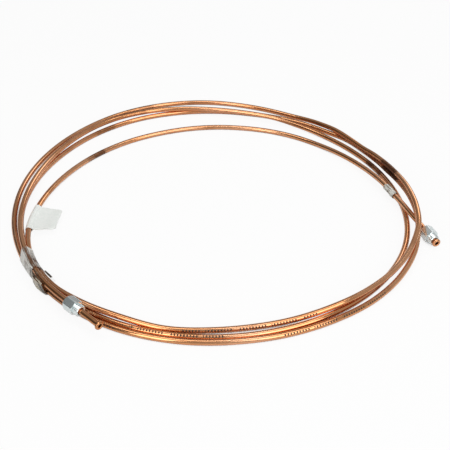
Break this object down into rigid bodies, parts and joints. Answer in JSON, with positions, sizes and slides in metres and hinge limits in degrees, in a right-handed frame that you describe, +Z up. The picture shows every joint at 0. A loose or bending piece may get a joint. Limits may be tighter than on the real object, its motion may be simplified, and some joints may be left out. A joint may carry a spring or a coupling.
{
  "type": "coiled rigid brake pipe",
  "caption": "Rigid copper-coloured metal brake pipe wound in a flat coil, with a bubble flare and a captive union nut at each end, a flag label and packing tape.",
  "frame": {"origin": "middle of the footprint of the coil lying flat, on the plane it lies on", "axes": "+Z up out of the coil's plane, +X towards the right of the picture, where end A is, +Y away from the camera"},
  "size_m": [0.3752, 0.363, 0.0202],
  "materials": {
    "pipe_copper": "drawn copper-nickel, satin to bright",
    "nut_zinc": "bright zinc plating",
    "label_paper": "coated white label stock",
    "tape_clear": "clear packing tape, crinkled",
    "tape_loose": "clear packing tape with adhesive, loose",
    "tape_short": "clear packing tape"
  },
  "bodies": {
    "coil": {"pipe": "pipe_copper", "label": "label_paper", "bundle_tape": "tape_clear", "loose_tape": "tape_loose", "end_tape": "tape_short"},
    "nut_a": {"union_nut_a": "nut_zinc"},
    "nut_b": {"union_nut_b": "nut_zinc"}
  },
  "joints": [
    {"name": "nut_a_spin", "type": "hinge", "parent": "coil", "child": "nut_a", "pos_m": [0.18047, -0.05852, 0.0067], "axis": [0.3423, -0.9392, -0.0276], "continuous": true},
    {"name": "nut_b_slide", "type": "slide", "parent": "coil", "child": "nut_b", "axis": [0.738, -0.6747, -0.0146], "range_m": [-0.002, 0.0187]}
  ]
}
